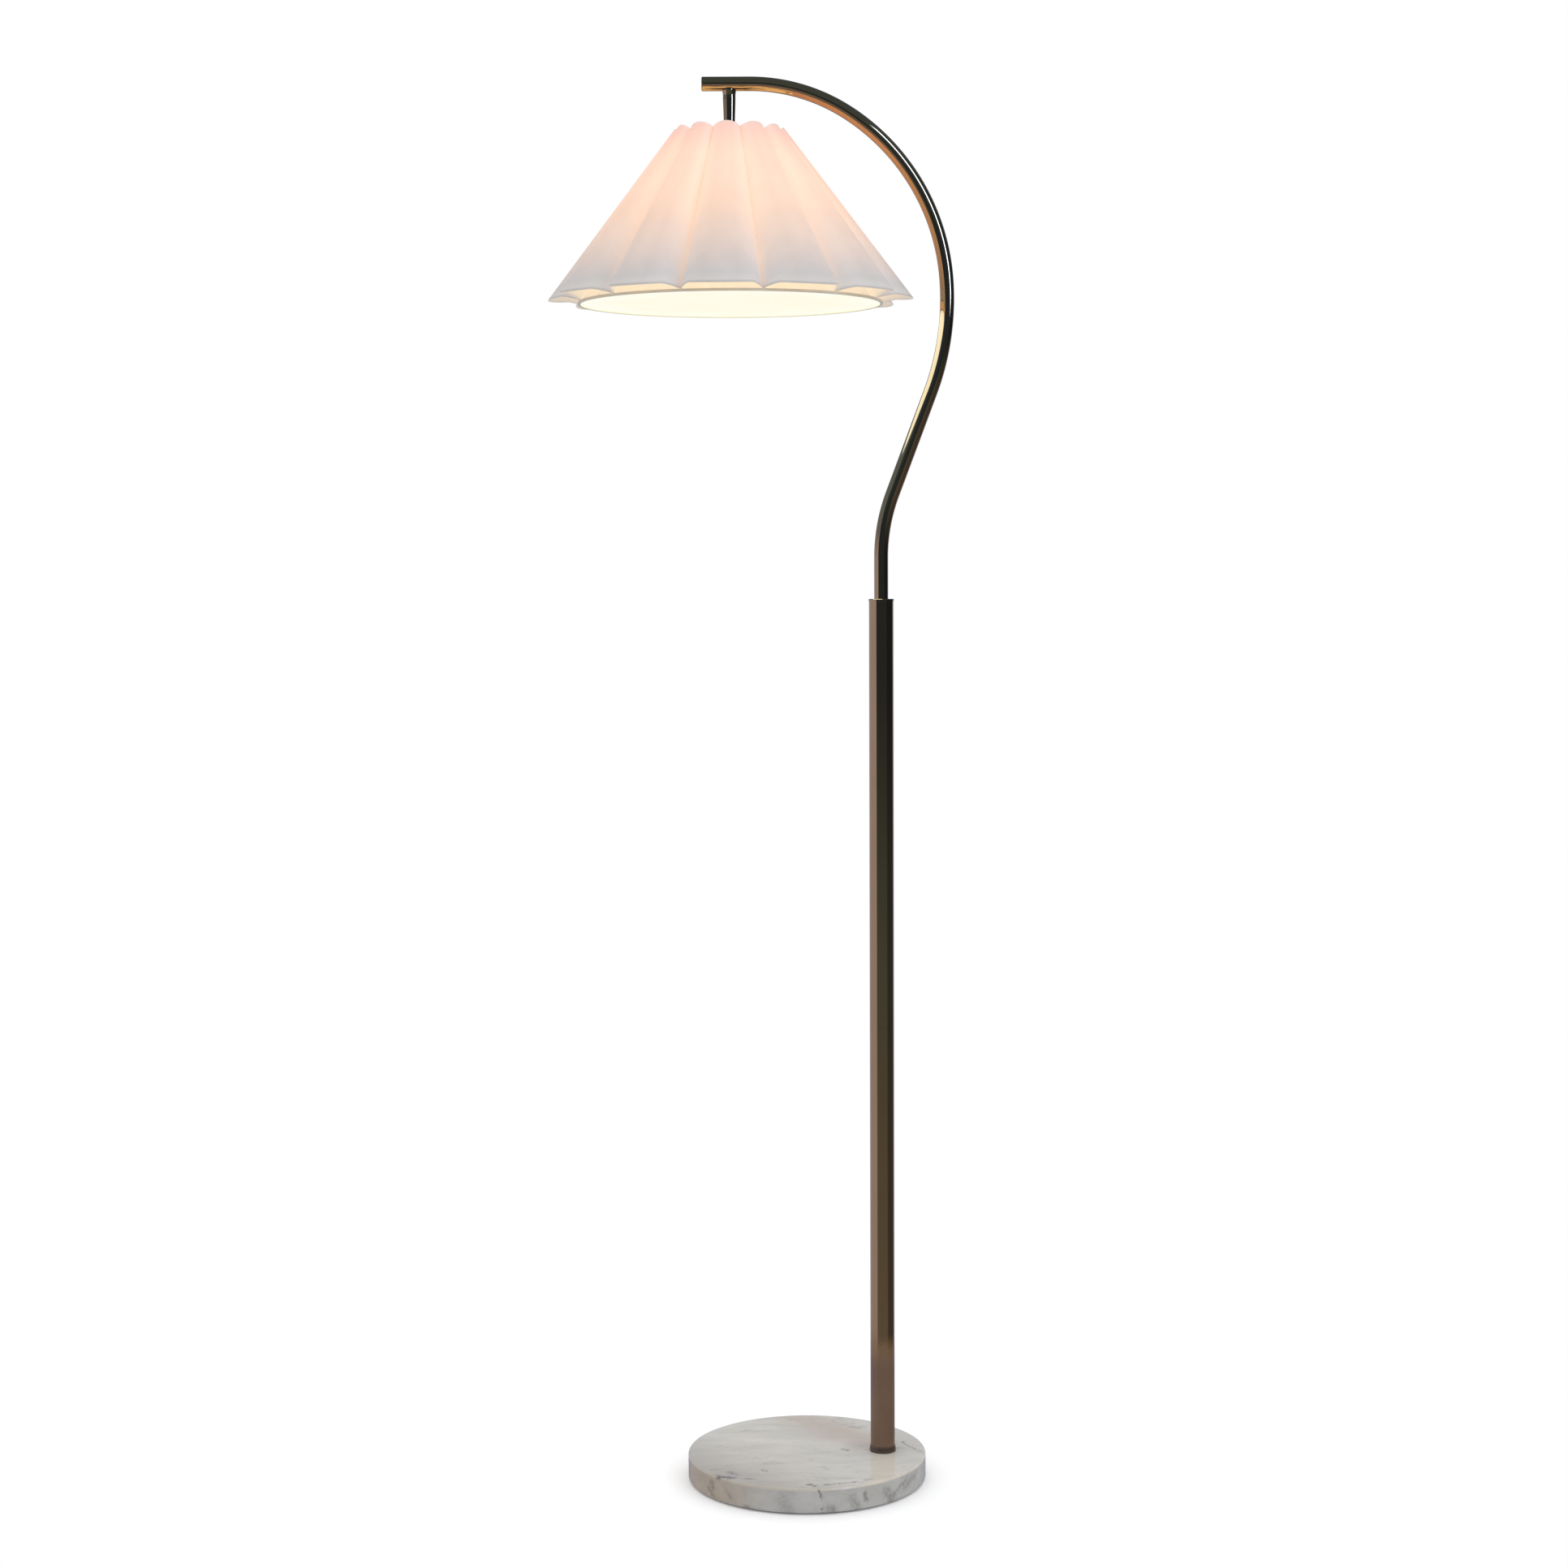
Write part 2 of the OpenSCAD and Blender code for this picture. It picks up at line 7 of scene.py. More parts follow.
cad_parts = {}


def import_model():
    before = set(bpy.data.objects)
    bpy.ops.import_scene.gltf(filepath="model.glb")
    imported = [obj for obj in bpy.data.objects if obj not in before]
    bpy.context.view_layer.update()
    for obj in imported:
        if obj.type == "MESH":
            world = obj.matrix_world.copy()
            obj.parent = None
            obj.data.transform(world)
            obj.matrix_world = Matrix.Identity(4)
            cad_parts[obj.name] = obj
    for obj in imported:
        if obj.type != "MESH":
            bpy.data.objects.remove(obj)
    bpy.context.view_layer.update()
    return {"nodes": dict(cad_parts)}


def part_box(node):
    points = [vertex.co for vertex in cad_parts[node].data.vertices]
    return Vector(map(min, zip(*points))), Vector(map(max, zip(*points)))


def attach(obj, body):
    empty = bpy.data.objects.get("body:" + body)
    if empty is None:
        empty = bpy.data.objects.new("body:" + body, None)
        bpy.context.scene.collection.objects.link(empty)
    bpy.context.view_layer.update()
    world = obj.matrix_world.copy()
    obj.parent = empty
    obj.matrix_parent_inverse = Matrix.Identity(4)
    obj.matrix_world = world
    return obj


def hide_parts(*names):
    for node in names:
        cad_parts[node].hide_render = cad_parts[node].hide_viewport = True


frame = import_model()
nodes = frame["nodes"]
scene = bpy.context.scene


# ---- small helpers ----

def srgb(r, g, b):
    """An 8-bit display colour as scene-linear RGBA."""
    return tuple((c / 12.92 if c <= 0.04045 else ((c + 0.055) / 1.055) ** 2.4)
                 for c in (r / 255, g / 255, b / 255)) + (1.0,)


class Nodes:
    """A short way to write a node tree."""

    def __init__(self, tree):
        self.tree = tree
        tree.nodes.clear()

    def add(self, kind, inputs=None, **settings):
        node = self.tree.nodes.new("ShaderNode" + kind)
        for key, value in settings.items():
            setattr(node, key, value)
        for key, value in (inputs or {}).items():
            socket = node.inputs[key]
            if isinstance(value, bpy.types.NodeSocket):
                self.tree.links.new(value, socket)
            else:
                socket.default_value = value
        return node

    def link(self, output, socket):
        self.tree.links.new(output, socket)

    def ramp(self, fac, stops, interpolation="LINEAR"):
        node = self.add("ValToRGB", {"Fac": fac})
        ramp = node.color_ramp
        ramp.interpolation = interpolation
        while len(ramp.elements) < len(stops):
            ramp.elements.new(0.5)
        for element, (place, colour) in zip(ramp.elements, stops):
            element.position = place
            element.color = colour if len(colour) == 4 else (*colour, 1.0)
        return node.outputs["Color"]

    def math(self, operation, a, b=0.0, clamp=False):
        node = self.add("Math", operation=operation, use_clamp=clamp)
        for socket, value in zip(node.inputs, (a, b)):
            if isinstance(value, bpy.types.NodeSocket):
                self.link(value, socket)
            else:
                socket.default_value = value
        return node.outputs[0]

    def mix(self, fac, a, b, blend_type="MIX"):
        node = self.add("Mix", data_type="RGBA", blend_type=blend_type)
        for index, value in ((0, fac), (6, a), (7, b)):
            if isinstance(value, bpy.types.NodeSocket):
                self.link(value, node.inputs[index])
            else:
                node.inputs[index].default_value = value
        return node.outputs[2]

    def object_coords(self, scale=(1, 1, 1)):
        coords = self.add("TexCoord").outputs["Object"]
        if scale == (1, 1, 1):
            return coords
        return self.add("Mapping", {"Vector": coords, "Scale": scale}).outputs["Vector"]

    def fade(self, value, start, end, top=1.0, smooth=True):
        """0 at start, rising to top at end; end may be below start."""
        shape = "SMOOTHSTEP" if smooth else "LINEAR"
        return self.add("MapRange", {"Value": value, "From Min": start, "From Max": end, "To Max": top},
                        interpolation_type=shape).outputs["Result"]

    def grey_ramp(self, fac, *stops):
        """A ramp of (place, value) stops, from one grey to the next."""
        return self.ramp(fac, [(place, (value,) * 3) for place, value in stops])

    def vector(self, operation, a, b):
        """Vector maths on two vectors. For DOT_PRODUCT and DISTANCE the result is a number."""
        result = "Value" if operation in ("DOT_PRODUCT", "DISTANCE") else "Vector"
        return self.add("VectorMath", {0: a, 1: b}, operation=operation).outputs[result]

    def scaled(self, vector, factor):
        return self.add("VectorMath", {0: vector, "Scale": factor}, operation="SCALE").outputs["Vector"]

    def length(self, vector):
        return self.add("VectorMath", {0: vector}, operation="LENGTH").outputs["Value"]

    def noise(self, vector, scale, detail=2.0, roughness=0.5, distortion=0.0):
        return self.add("TexNoise", {"Vector": vector, "Scale": scale, "Detail": detail,
                                     "Roughness": roughness, "Distortion": distortion}).outputs["Fac"]


def material(name):
    mat = bpy.data.materials.new(name)
    mat.use_nodes = True
    n = Nodes(mat.node_tree)
    shader = n.add("BsdfPrincipled")
    out = n.add("OutputMaterial")
    n.link(shader.outputs["BSDF"], out.inputs["Surface"])
    return mat, n, shader


def set_bump(n, shader, height, strength, distance):
    bump = n.add("Bump", {"Height": height, "Strength": strength, "Distance": distance})
    n.link(bump.outputs["Normal"], shader.inputs["Normal"])


def plain_material(name, colour, spread, roughness, grain=400.0, bump=0.0002, metallic=0.0):
    """A moulded or plated surface: its colour and gloss vary a little, and its skin has a fine grain."""
    mat, n, shader = material(name)
    place = n.object_coords()
    cloud = n.noise(place, 45.0, 3.0)
    light = tuple(min(1.0, c * (1 + spread)) for c in colour[:3])
    dark = tuple(c * (1 - spread) for c in colour[:3])
    n.link(n.ramp(cloud, [(0.3, dark), (0.7, light)]), shader.inputs["Base Color"])
    rough = n.grey_ramp(n.noise(place, 130.0, 2.0), (0.3, roughness * 0.85), (0.7, roughness * 1.15))
    n.link(rough, shader.inputs["Roughness"])
    shader.inputs["Metallic"].default_value = metallic
    set_bump(n, shader, n.noise(place, grain, 2.0), 0.3, bump)
    return mat


# ---- materials ----

# Heights in metres where the plating fades to a satin brown painted reflection, and where the collar's darker
# painted reflection begins
FOOT_REFLECTION_FADE = (0.172, 0.13)
COLLAR_REFLECTION_FADE = (0.038, 0.0355)


def black_nickel():
    """Polished bronze-black plating with faint wipe marks.

    Near the pole's foot a satin brown is a painted reflection of the base and floor; the collar's is darker.
    """
    mat, n, shader = material("black_nickel")
    place = n.object_coords()
    smudge = n.noise(place, 14.0, 4.0, 0.6)
    plating = n.ramp(smudge, [(0.3, (0.46, 0.28, 0.135)), (0.7, (0.50, 0.30, 0.15))])
    height = n.add("SeparateXYZ", {"Vector": place}).outputs["Z"]
    # Painted reflection: the plating turns satin brown near the foot, and darker still on the collar
    foot = n.fade(height, *FOOT_REFLECTION_FADE)
    collar = n.fade(height, *COLLAR_REFLECTION_FADE, smooth=False)
    brown = n.ramp(smudge, [(0.3, (0.175, 0.105, 0.066)), (0.7, (0.205, 0.128, 0.084))])
    brown = n.mix(collar, brown, (0.085, 0.058, 0.042, 1))
    n.link(n.mix(foot, plating, brown), shader.inputs["Base Color"])
    n.link(n.grey_ramp(foot, (0.0, 1), (1.0, 0.2)), shader.inputs["Metallic"])
    marks = n.noise(n.object_coords((500, 500, 12)), 1.0, 2.0)
    wiped = n.math("ADD", n.math("MULTIPLY", smudge, 0.7), n.math("MULTIPLY", marks, 0.3))
    gloss = n.grey_ramp(wiped, (0.3, 0.025), (0.7, 0.065))
    n.link(n.mix(foot, gloss, (0.3, 0.3, 0.3, 1)), shader.inputs["Roughness"])
    return mat


# Single veins, streaks and flecks of the marble, listed one by one: start, end and half width in metres, and
# how dark each is
MARBLE_STROKES = [
    ((-0.101, -0.090, 0.030), (-0.084, -0.099, 0.030), 0.0022, 0.95),
    ((-0.112, -0.070, 0.030), (-0.090, -0.066, 0.030), 0.0016, 0.35),
    ((-0.086, -0.078, 0.030), (-0.082, -0.086, 0.030), 0.0030, 0.55),
    ((-0.067, -0.100, 0.030), (-0.062, -0.101, 0.030), 0.0022, 0.55),
    ((-0.051, -0.073, 0.030), (-0.048, -0.074, 0.030), 0.0014, 0.75),
    ((0.003, -0.123, 0.030), (0.006, -0.127, 0.030), 0.0020, 0.75),
    ((0.018, -0.126, 0.030), (0.052, -0.112, 0.030), 0.0016, 0.60),
    ((0.052, -0.112, 0.030), (0.062, -0.116, 0.030), 0.0012, 0.40),
    ((0.063, -0.107, 0.030), (0.070, -0.107, 0.030), 0.0026, 0.50),
    ((0.041, 0.003, 0.030), (0.045, 0.001, 0.030), 0.0026, 0.55),
    ((0.111, 0.033, 0.030), (0.133, -0.011, 0.030), 0.0012, 0.75),
    ((0.012, -0.137, 0.030), (0.018, -0.137, 0.014), 0.0009, 0.85),
    ((0.018, -0.137, 0.014), (0.019, -0.137, 0.001), 0.0010, 0.90),
    ((-0.109, -0.084, 0.020), (-0.108, -0.085, 0.016), 0.0032, 0.60),
    ((-0.090, -0.104, 0.015), (-0.086, -0.107, 0.009), 0.0028, 0.45),
    ((-0.112, -0.080, 0.010), (-0.108, -0.085, 0.006), 0.0026, 0.45),
    ((-0.070, -0.118, 0.004), (-0.060, -0.124, 0.002), 0.0022, 0.60),
    ((-0.028, -0.134, 0.016), (-0.024, -0.135, 0.006), 0.0060, 0.28),
    ((0.026, -0.135, 0.008), (0.030, -0.134, 0.002), 0.0032, 0.50),
    ((0.050, -0.128, 0.014), (0.054, -0.126, 0.002), 0.0045, 0.42),
    ((0.064, -0.122, 0.018), (0.066, -0.121, 0.012), 0.0022, 0.55),
    ((0.088, -0.106, 0.018), (0.094, -0.101, 0.006), 0.0040, 0.50),
    ((0.096, -0.098, 0.010), (0.112, -0.080, 0.022), 0.0020, 0.45),
    ((0.108, -0.085, 0.012), (0.122, -0.063, 0.020), 0.0030, 0.30),
    ((-0.040, 0.131, 0.022), (-0.010, 0.137, 0.008), 0.0022, 0.50),
    ((0.070, 0.118, 0.020), (0.100, 0.094, 0.010), 0.0030, 0.40),
    ((0.052, 0.090, 0.030), (0.066, 0.084, 0.030), 0.0030, 0.30),
]


# A stroke fades out over this many half widths
STROKE_FADE = 2.4


def stroke_mask(n, place, start, end, half_width):
    """1 along the segment from start to end, fading to 0 at half_width from it."""
    start, end = Vector(start), Vector(end)
    run = end - start
    away = n.vector("SUBTRACT", place, start)
    along = n.vector("DOT_PRODUCT", away, run / run.length_squared)
    nearest = n.scaled(run, n.math("ADD", along, 0.0, clamp=True))
    return n.fade(n.vector("DISTANCE", away, nearest), half_width, 0.0)


def drifted(n, place, scale, detail, roughness, reach):
    """The place moved about by a soft noise, up to about half of reach each way."""
    drift = n.add("TexNoise", {"Vector": place, "Scale": scale, "Detail": detail, "Roughness": roughness})
    centred = n.vector("SUBTRACT", drift.outputs["Color"], (0.5, 0.5, 0.5))
    return n.vector("ADD", place, n.scaled(centred, reach))


def marble():
    """Polished light marble with warm grey streaks, a pink-beige painted shadow of the pole and dark strokes.
    """
    mat, n, shader = material("marble")
    place = n.object_coords()
    bent = drifted(n, place, 55.0, 4.0, 0.65, 0.018)
    streak = n.add("Mapping", {"Vector": bent, "Rotation": (0, 0, -0.12), "Scale": (0.35, 1.25, 0.9)})
    streak = streak.outputs["Vector"]
    ground = n.ramp(n.noise(streak, 34.0, 6.0, 0.6), [
        (0.30, srgb(198, 191, 180)), (0.45, srgb(208, 201, 189)),
        (0.6, srgb(216, 209, 197)), (0.75, srgb(222, 215, 203))])
    bloom = n.grey_ramp(n.noise(place, 16.0, 3.0), (0.45, 0), (0.7, 0.5))
    ground = n.mix(bloom, ground, srgb(203, 198, 188))
    # The front left of the stone is darker
    nearness = n.vector("DOT_PRODUCT", bent, (-0.72, -0.69, 0.0))
    ground = n.mix(n.fade(nearness, 0.03, 0.135, 0.75), ground, srgb(172, 163, 151))
    # The rim and the side are painted greyer than the top, as painted shade, and beige toward the left
    axes = n.add("SeparateXYZ", {"Vector": place})
    low = n.fade(axes.outputs["Z"], 0.0285, 0.026)
    left = n.fade(axes.outputs["X"], -0.03, -0.11)
    shaded_side_tone = n.mix(left, srgb(171, 172, 171), srgb(168, 155, 139))
    patch = n.grey_ramp(n.noise(bent, 48.0, 4.0, 0.6), (0.35, 0.86), (0.65, 1.06))
    ground = n.mix(n.math("MULTIPLY", low, 0.8), ground, n.mix(1.0, shaded_side_tone, patch, "MULTIPLY"))
    # A painted shadow of the pole, running from the back toward the pole, with a ragged edge
    loose = drifted(n, place, 30.0, 3.0, 0.5, 0.05)
    pole_shadow = stroke_mask(n, loose, (-0.004, 0.118, 0.03), (0.078, 0.022, 0.03), 0.048)
    colour = n.mix(n.math("MULTIPLY", pole_shadow, 0.8), ground, srgb(198, 180, 163))
    # Fine veins, broken up, and then the single strokes
    ridge = n.math("ABSOLUTE", n.math("SUBTRACT", n.noise(streak, 22.0, 5.0, 0.66, 0.4), 0.5))
    line = n.grey_ramp(ridge, (0.0, 1), (0.012, 0.5), (0.035, 0))
    broken = n.grey_ramp(n.noise(bent, 36.0, 3.0), (0.5, 0), (0.66, 0.55))
    colour = n.mix(n.mix(1.0, line, broken, "MULTIPLY"), colour, srgb(150, 143, 141))
    grit = n.grey_ramp(n.noise(place, 260.0, 3.0, 0.7), (0.35, 0.35), (0.6, 1))
    for start, end, half_width, depth in MARBLE_STROKES:
        mask = n.math("MULTIPLY", stroke_mask(n, bent, start, end, half_width * STROKE_FADE), grit)
        colour = n.mix(n.math("MULTIPLY", mask, depth), colour, srgb(72, 67, 68))
    n.link(colour, shader.inputs["Base Color"])
    n.link(n.grey_ramp(n.noise(place, 60.0, 3.0), (0.3, 0.13), (0.7, 0.20)), shader.inputs["Roughness"])
    set_bump(n, shader, n.noise(place, 320.0, 3.0), 0.02, 0.0001)
    return mat


def weave(n, shader):
    """A plain weave at thread scale, as a bump."""
    threads = {"Vector": n.object_coords(), "Scale": 330.0, "Distortion": 0.6}
    warp, weft = (n.add("TexWave", threads, bands_direction=way).outputs["Fac"] for way in "ZX")
    set_bump(n, shader, n.math("MULTIPLY", warp, weft), 0.12, 0.0002)


# Painted glow that stands for light coming through the middle of a pleat and through its valley, from the
# bottom edge up, and the painted light that the walls between them have over the middle
FACE_GLOW = [
    (0.0, (0.08, 0.06, 0.05)), (0.06, (0.02, 0.004, 0.0)), (0.14, (0.11, 0.03, 0.0)),
    (0.31, (0.28, 0.105, 0.012)), (0.47, (0.42, 0.155, 0.01)), (0.64, (0.55, 0.19, 0.03)),
    (0.80, (0.58, 0.19, 0.035)), (0.89, (0.52, 0.15, 0.01)), (0.96, (0.45, 0.10, 0.0)),
    (1.0, (0.36, 0.08, 0.0))]
VALLEY_GLOW = [
    (0.0, (0.21, 0.14, 0.11)), (0.2, (0.32, 0.20, 0.13)), (0.5, (0.44, 0.24, 0.13)),
    (0.85, (0.55, 0.25, 0.13)), (1.0, (0.38, 0.13, 0.04))]
WALL_FILL = 0.08


def fabric_outside():
    """Cream fabric with a painted glow for the light from inside: warm where the bulb is near, cool where
    only the room lights it.
    """
    mat, n, shader = material("shade_outside")
    rise = n.add("Attribute", attribute_name="rise").outputs["Fac"]
    fold = n.add("Attribute", attribute_name="fold").outputs["Fac"]
    across = n.add("Attribute", attribute_name="across").outputs["Fac"]
    cloud = n.noise(n.object_coords((1, 1, 0.5)), 26.0, 4.0, 0.6)
    wander = n.math("ADD", rise, n.math("MULTIPLY", n.math("SUBTRACT", cloud, 0.5), 0.08))
    # Painted glow through the fabric, stronger in the valleys and on the walls
    middle = n.ramp(wander, FACE_GLOW)
    wall = n.ramp(wander, [(at, tuple(part + WALL_FILL for part in colour)) for at, colour in FACE_GLOW])
    face = n.mix(n.grey_ramp(across, (0.35, 0), (0.8, 1)), middle, wall)
    emission = n.mix(n.grey_ramp(fold, (0.25, 0), (0.9, 1)), face, n.ramp(wander, VALLEY_GLOW))
    n.link(emission, shader.inputs["Emission Color"])
    shader.inputs["Emission Strength"].default_value = 1.0
    base = n.ramp(cloud, [(0.3, srgb(205, 204, 202)), (0.7, srgb(211, 210, 208))])
    n.link(base, shader.inputs["Base Color"])
    n.link(n.grey_ramp(cloud, (0.3, 0.78), (0.7, 0.88)), shader.inputs["Roughness"])
    shader.inputs["Sheen Weight"].default_value = 0.15
    weave(n, shader)
    return mat


def fabric_inside():
    """The laminated inner face, with a painted glow for the bulb's light on it."""
    mat, n, shader = material("shade_inside")
    rise = n.add("Attribute", attribute_name="rise").outputs["Fac"]
    cloud = n.noise(n.object_coords(), 30.0, 3.0)
    emission = n.ramp(rise, [
        (0.0, (0.38, 0.33, 0.29)), (0.04, (0.40, 0.33, 0.27)), (0.14, (0.47, 0.37, 0.28)),
        (0.4, (0.62, 0.47, 0.31)), (0.8, (0.75, 0.55, 0.33))])
    n.link(emission, shader.inputs["Emission Color"])
    shader.inputs["Emission Strength"].default_value = 1.0
    base = n.ramp(cloud, [(0.3, srgb(184, 178, 168)), (0.7, srgb(190, 184, 175))])
    n.link(base, shader.inputs["Base Color"])
    n.link(n.grey_ramp(cloud, (0.3, 0.35), (0.7, 0.45)), shader.inputs["Roughness"])
    weave(n, shader)
    return mat


def reach_from(n, place, axis, radius):
    """How far a place is from an upright axis, where radius counts as 1."""
    level = n.vector("MULTIPLY", n.vector("SUBTRACT", place, (axis[0], axis[1], 0.0)), (1, 1, 0))
    return n.math("DIVIDE", n.length(level), radius)


def lit_plastic(name, centre, edge, strength, axis, radius):
    """Opal plastic with a painted glow for the light behind it, changing from an axis outward."""
    mat, n, shader = material(name)
    place = n.object_coords()
    reach = reach_from(n, place, axis, radius)
    cloud = n.noise(place, 20.0, 2.0)
    emission = n.ramp(reach, [(0.0, centre), (0.6, centre), (1.0, edge)], "EASE")
    n.link(emission, shader.inputs["Emission Color"])
    shader.inputs["Emission Strength"].default_value = strength
    n.link(n.ramp(cloud, [(0.3, (0.50, 0.49, 0.46)), (0.7, (0.54, 0.53, 0.50))]), shader.inputs["Base Color"])
    n.link(n.grey_ramp(cloud, (0.3, 0.28), (0.7, 0.36)), shader.inputs["Roughness"])
    return mat


def ring_paint(axis, lip_radius):
    """Tan enamel on the hoop; its thin inner lip has a painted glow for the light of the diffuser that it
    holds.
    """
    mat, n, shader = material("ring_paint")
    place = n.object_coords()
    lip = n.fade(reach_from(n, place, axis, lip_radius), 1.003, 0.9985, smooth=False)
    cloud = n.ramp(n.noise(place, 60.0, 3.0), [(0.3, (0.82, 0.75, 0.60)), (0.7, (0.88, 0.81, 0.66))])
    n.link(n.mix(lip, cloud, (0.80, 0.76, 0.62, 1)), shader.inputs["Base Color"])
    n.link(n.mix(lip, (0, 0, 0, 1), (0.40, 0.37, 0.26, 1)), shader.inputs["Emission Color"])
    shader.inputs["Emission Strength"].default_value = 1.0
    n.link(n.grey_ramp(n.noise(place, 130.0, 2.0), (0.3, 0.38), (0.7, 0.46)), shader.inputs["Roughness"])
    return mat


SHADE_AXIS = Vector(((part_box("drop_rod")[0].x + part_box("drop_rod")[1].x) / 2, 0, 0))
MATERIALS = {
    "nickel": black_nickel(),
    "marble": marble(),
    "pad": plain_material("foam_pad", (0.035, 0.035, 0.037), 0.3, 0.9, 900.0, 0.0006),
    "rubber": plain_material("black_rubber", (0.018, 0.018, 0.019), 0.2, 0.6, 700.0),
    "steel": plain_material("zinc_steel", (0.62, 0.63, 0.64), 0.06, 0.3, 300.0, 0.00005, 1.0),
    "nylon": plain_material("nylon", (0.8, 0.78, 0.72), 0.04, 0.45),
    "phenolic": plain_material("phenolic", (0.02, 0.019, 0.018), 0.25, 0.32),
    "ceramic": plain_material("steatite", (0.78, 0.72, 0.6), 0.06, 0.55, 600.0),
    "brass": plain_material("brass", (0.78, 0.56, 0.24), 0.08, 0.25, 300.0, 0.00005, 1.0),
    "wire": plain_material("coated_wire", (0.62, 0.58, 0.47), 0.05, 0.4),
    "ring": ring_paint(SHADE_AXIS, 0.1684),
    "bulb_white": plain_material("bulb_white", (0.84, 0.84, 0.82), 0.03, 0.35),
    "board": plain_material("led_board", (0.85, 0.78, 0.42), 0.1, 0.5),
    "diffuser": lit_plastic("opal_diffuser", (0.69, 0.64, 0.42), (0.69, 0.66, 0.48), 1.0, SHADE_AXIS, 0.169),
    "bulb": lit_plastic("bulb_opal", (1.0, 0.93, 0.75), (1.0, 0.85, 0.6), 1.5, SHADE_AXIS, 0.03),
}
FINISHES = {
    "nickel": ["foot_collar", "lower_pole", "pole_joiner", "upper_pole", "pole_cap", "arm_tube",
               "arm_end_cap", "drop_coupling", "drop_rod"],
    "marble": ["marble_base"],
    "pad": ["floor_pad"],
    "rubber": ["cable_grommet", "pole_cable", "arm_cable", "drop_cable"],
    "steel": ["base_stud", "base_washer", "base_nut", "foot_plug", "pole_grub_screws", "arm_stop_pin",
              "swivel_nipple", "bulb_screw_cap", "bulb_contact"],
    "nylon": ["arm_upper_bush", "arm_lower_bush"],
    "phenolic": ["holder_cap", "holder_skirt", "clamp_rings", "bulb_insulator"],
    "ceramic": ["holder_core"],
    "brass": ["swivel_locknut", "holder_contacts", "terminal_screws"],
    "wire": ["spider", "top_ring"],
    "ring": ["bottom_ring"],
    "bulb_white": ["bulb_body"],
    "board": ["led_board"],
    "diffuser": ["diffuser"],
    "bulb": ["bulb_dome"],
}
for finish, names in FINISHES.items():
    for name in names:
        node = nodes[name]
        node.data.materials.clear()
        node.data.materials.append(MATERIALS[finish])


# ---- the bent arm ----

# Sizes in metres; the arm starts straight up at ARM_LOW, (x, z), and ends level at ARM_END_X
ARM_RADIUS = 0.008
ARM_BORE = 0.0065
ARM_LOW = (0.088, 0.9005)
ARM_TOP_Z = 1.592
ARM_END_X = -0.1102
LEAN = math.asin(0.352)
# Each leg above the first straight: a length, or a radius and the angle it turns by, positive to +X
ARM_LEGS = [(0.203, LEAN), (0.122,), (0.295, -LEAN), (0.295, -math.asin(0.07584)), (0.241, -math.asin(0.8)),
            (0.204, -math.asin(0.5376))]


def walk(place, heading, leg, step=math.radians(1.2)):
    """The stations (x, z, heading) along one leg, after its first."""
    x, z = place
    if len(leg) == 1:
        return [(x + leg[0] * math.sin(heading), z + leg[0] * math.cos(heading), heading)]
    radius, turn = leg
    side = math.copysign(1, turn)
    centre = x + side * radius * math.cos(heading), z - side * radius * math.sin(heading)
    count = math.ceil(abs(turn) / step)
    angles = [heading + turn * (i + 1) / count for i in range(count)]
    return [(centre[0] - side * radius * math.cos(a), centre[1] + side * radius * math.sin(a), a)
            for a in angles]


def arm_stations():
    bends = [(0.0, 0.0, 0.0)]
    for leg in ARM_LEGS:
        x, z, heading = bends[-1]
        bends += walk((x, z), heading, leg)
    rise = ARM_TOP_Z - bends[-1][1]
    stations = [(ARM_LOW[0], ARM_LOW[1], 0.0)] + [(x + ARM_LOW[0], z + rise, h) for x, z, h in bends]
    return stations + [(ARM_END_X, ARM_TOP_Z, -math.pi / 2)]


def build_arm(around=64):
    """The arm's tube as one smooth skin, outside and bore, closed by a ring at each end."""
    stations = arm_stations()
    points, faces = [], []
    loops = [(s, ARM_RADIUS) for s in stations] + [(s, ARM_BORE) for s in reversed(stations)]
    for (x, z, heading), radius in loops:
        for k in range(around):
            a = 2 * math.pi * k / around
            out = radius * math.cos(a)
            points.append((x + out * math.cos(heading), radius * math.sin(a), z - out * math.sin(heading)))
    for i in range(len(loops)):
        j = (i + 1) % len(loops)
        for k in range(around):
            m = (k + 1) % around
            faces.append((i * around + k, i * around + m, j * around + m, j * around + k))
    mesh = bpy.data.meshes.new("arm_skin")
    mesh.from_pydata(points, [], faces)
    mesh.shade_smooth()
    ends = [0, len(stations) - 1, len(stations), len(loops) - 1]
    for edge in mesh.edges:
        a, b = (v // around for v in edge.vertices)
        edge.use_edge_sharp = a == b and a in ends
    arm = bpy.data.objects.new("arm_skin", mesh)
    scene.collection.objects.link(arm)
    mesh.materials.append(MATERIALS["nickel"])
    return arm


arm = build_arm()
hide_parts("arm_tube")
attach(arm, "arm")


# ---- the pleated shade ----

PLEATS = 12
# Degrees from -Y toward +X
FIRST_VALLEY = 12.9
# Radii in metres; curve is how fully a pleat bulges, fuller when it is smaller
LOW = {"valley_r": 0.1695, "crest_r": 0.206, "curve": 0.85}
TOP = {"valley_r": 0.0568, "crest_r": 0.061, "curve": 0.75}
LOW_Z = 1.3551
# Step across a pleat, of 1 from its middle to its valley, where its bottom edge is highest
LOW_PEAK = 0.7
MIDDLE_DIP = 0.0018
VALLEY_DROP = 0.0049
TOP_Z = 1.543
TOP_DROP = 0.0065
FABRIC = 0.001
# Mesh columns in each pleat, and rows from bottom to top
ACROSS = 28
ROWS = 60


def stand_out(s, curve):
    """1 at the middle of a pleat, falling in a round arch to 0 in the valley at s = -1 or 1."""
    return max(0.0, 1 - s * s) ** curve


